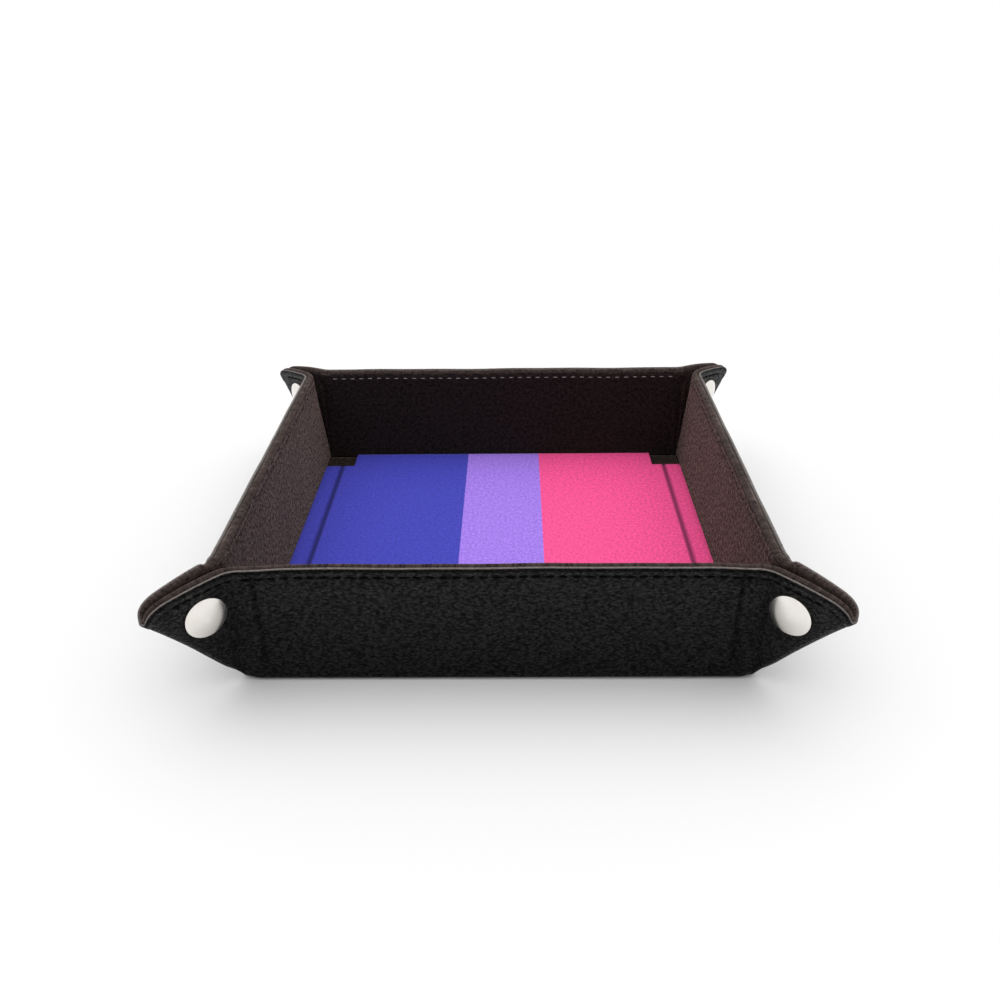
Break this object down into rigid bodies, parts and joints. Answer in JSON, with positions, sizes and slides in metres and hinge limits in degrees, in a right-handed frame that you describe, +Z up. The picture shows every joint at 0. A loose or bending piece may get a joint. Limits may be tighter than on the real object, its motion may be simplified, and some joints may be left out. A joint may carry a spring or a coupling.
{
  "type": "folding dice tray",
  "caption": "Square tray for rolling dice: stiffened leatherette walls with a velvet lining, held up by snap-fastened corner ears and folding flat.",
  "frame": {"origin": "middle of the base, on the surface that the tray stands on", "axes": "+Z up; +X to the right and -Y towards the user, both square to the walls"},
  "size_m": [0.2178, 0.2178, 0.0443],
  "materials": {
    "leatherette": "satin pebbled grain",
    "velvet_lining": "short pile",
    "printed_mat": "printed microfibre, three stripes",
    "fibreboard": "raw board",
    "nickel": "polished nickel plate",
    "thread": "twisted polyester"
  },
  "bodies": {
    "tray_base": {"base_cover": "leatherette", "base_board": "fibreboard", "base_lining": "velvet_lining", "floor_mat": "printed_mat", "front_hinge_strip": "leatherette", "rear_hinge_strip": "leatherette", "left_hinge_strip": "leatherette", "right_hinge_strip": "leatherette"},
    "front_wall": {"front_wall_cover": "leatherette", "front_wall_board": "fibreboard", "front_wall_lining": "velvet_lining", "front_rim_thread": "thread"},
    "rear_wall": {"rear_wall_cover": "leatherette", "rear_wall_board": "fibreboard", "rear_wall_lining": "velvet_lining", "rear_rim_thread": "thread"},
    "left_wall": {"left_wall_cover": "leatherette", "left_wall_board": "fibreboard", "left_wall_lining": "velvet_lining", "left_rim_thread": "thread"},
    "right_wall": {"right_wall_cover": "leatherette", "right_wall_board": "fibreboard", "right_wall_lining": "velvet_lining", "right_rim_thread": "thread"},
    "front_left_ear_front": {"front_left_ear_front_cover": "leatherette", "front_left_ear_front_lining": "velvet_lining", "front_left_snap_cap_front": "nickel", "front_left_snap_socket": "nickel", "front_left_ear_fold": "leatherette"},
    "front_left_ear_left": {"front_left_ear_left_cover": "leatherette", "front_left_ear_left_lining": "velvet_lining", "front_left_snap_cap_left": "nickel", "front_left_snap_stud": "nickel"},
    "front_right_ear_front": {"front_right_ear_front_cover": "leatherette", "front_right_ear_front_lining": "velvet_lining", "front_right_snap_cap_front": "nickel", "front_right_snap_socket": "nickel", "front_right_ear_fold": "leatherette"},
    "front_right_ear_right": {"front_right_ear_right_cover": "leatherette", "front_right_ear_right_lining": "velvet_lining", "front_right_snap_cap_right": "nickel", "front_right_snap_stud": "nickel"},
    "rear_left_ear_left": {"rear_left_ear_left_cover": "leatherette", "rear_left_ear_left_lining": "velvet_lining", "rear_left_snap_cap_left": "nickel", "rear_left_snap_stud": "nickel", "rear_left_ear_fold": "leatherette"},
    "rear_left_ear_rear": {"rear_left_ear_rear_cover": "leatherette", "rear_left_ear_rear_lining": "velvet_lining", "rear_left_snap_cap_rear": "nickel", "rear_left_snap_socket": "nickel"},
    "rear_right_ear_right": {"rear_right_ear_right_cover": "leatherette", "rear_right_ear_right_lining": "velvet_lining", "rear_right_snap_cap_right": "nickel", "rear_right_snap_stud": "nickel", "rear_right_ear_fold": "leatherette"},
    "rear_right_ear_rear": {"rear_right_ear_rear_cover": "leatherette", "rear_right_ear_rear_lining": "velvet_lining", "rear_right_snap_cap_rear": "nickel", "rear_right_snap_socket": "nickel"}
  },
  "joints": [
    {"name": "front_wall_fold", "type": "hinge", "parent": "tray_base", "child": "front_wall", "pos_m": [0, -0.0815, 0.0025], "axis": [1, 0, 0], "range_deg": [0, 84], "deforming": ["front_hinge_strip"]},
    {"name": "rear_wall_fold", "type": "hinge", "parent": "tray_base", "child": "rear_wall", "pos_m": [0, 0.0815, 0.0025], "axis": [-1, 0, 0], "range_deg": [0, 84], "deforming": ["rear_hinge_strip"]},
    {"name": "left_wall_fold", "type": "hinge", "parent": "tray_base", "child": "left_wall", "pos_m": [-0.0815, 0, 0.0025], "axis": [0, -1, 0], "range_deg": [0, 84], "deforming": ["left_hinge_strip"]},
    {"name": "right_wall_fold", "type": "hinge", "parent": "tray_base", "child": "right_wall", "pos_m": [0.0815, 0, 0.0025], "axis": [0, 1, 0], "range_deg": [0, 84], "deforming": ["right_hinge_strip"]},
    {"name": "front_left_crease_turn", "type": "hinge", "parent": "front_wall", "child": "front_left_ear_front", "pos_m": [-0.0815, -0.0815, 0.0025], "axis": [0, 0.1045, -0.9945], "range_deg": [0, 40.91]},
    {"name": "front_left_ear_open", "type": "hinge", "parent": "front_left_ear_front", "child": "front_left_ear_left", "pos_m": [-0.0815, -0.0815, 0.0025], "axis": [-0.5344, -0.5344, 0.6548], "range_deg": [0, 168], "deforming": ["front_left_ear_fold"]},
    {"name": "front_right_crease_turn", "type": "hinge", "parent": "front_wall", "child": "front_right_ear_front", "pos_m": [0.0815, -0.0815, 0.0025], "axis": [0, -0.1045, 0.9945], "range_deg": [0, 40.91]},
    {"name": "front_right_ear_open", "type": "hinge", "parent": "front_right_ear_front", "child": "front_right_ear_right", "pos_m": [0.0815, -0.0815, 0.0025], "axis": [-0.5344, 0.5344, -0.6548], "range_deg": [0, 168], "deforming": ["front_right_ear_fold"]},
    {"name": "rear_left_crease_turn", "type": "hinge", "parent": "left_wall", "child": "rear_left_ear_left", "pos_m": [-0.0815, 0.0815, 0.0025], "axis": [0.1045, 0, -0.9945], "range_deg": [0, 40.91]},
    {"name": "rear_left_ear_open", "type": "hinge", "parent": "rear_left_ear_left", "child": "rear_left_ear_rear", "pos_m": [-0.0815, 0.0815, 0.0025], "axis": [-0.5344, 0.5344, 0.6548], "range_deg": [0, 168], "deforming": ["rear_left_ear_fold"]},
    {"name": "rear_right_crease_turn", "type": "hinge", "parent": "right_wall", "child": "rear_right_ear_right", "pos_m": [0.0815, 0.0815, 0.0025], "axis": [0.1045, 0, 0.9945], "range_deg": [0, 40.91]},
    {"name": "rear_right_ear_open", "type": "hinge", "parent": "rear_right_ear_right", "child": "rear_right_ear_rear", "pos_m": [0.0815, 0.0815, 0.0025], "axis": [-0.5344, -0.5344, -0.6548], "range_deg": [0, 168], "deforming": ["rear_right_ear_fold"]}
  ],
  "couplings": [
    {"joint": "rear_wall_fold", "follows": "front_wall_fold", "ratio": 1},
    {"joint": "left_wall_fold", "follows": "front_wall_fold", "ratio": 1},
    {"joint": "right_wall_fold", "follows": "front_wall_fold", "ratio": 1},
    {"joint": "front_left_crease_turn", "follows": "front_wall_fold", "ratio": 0.48699},
    {"joint": "front_left_ear_open", "follows": "front_wall_fold", "ratio": 2},
    {"joint": "front_right_crease_turn", "follows": "front_wall_fold", "ratio": 0.48699},
    {"joint": "front_right_ear_open", "follows": "front_wall_fold", "ratio": 2},
    {"joint": "rear_left_crease_turn", "follows": "front_wall_fold", "ratio": 0.48699},
    {"joint": "rear_left_ear_open", "follows": "front_wall_fold", "ratio": 2},
    {"joint": "rear_right_crease_turn", "follows": "front_wall_fold", "ratio": 0.48699},
    {"joint": "rear_right_ear_open", "follows": "front_wall_fold", "ratio": 2}
  ]
}
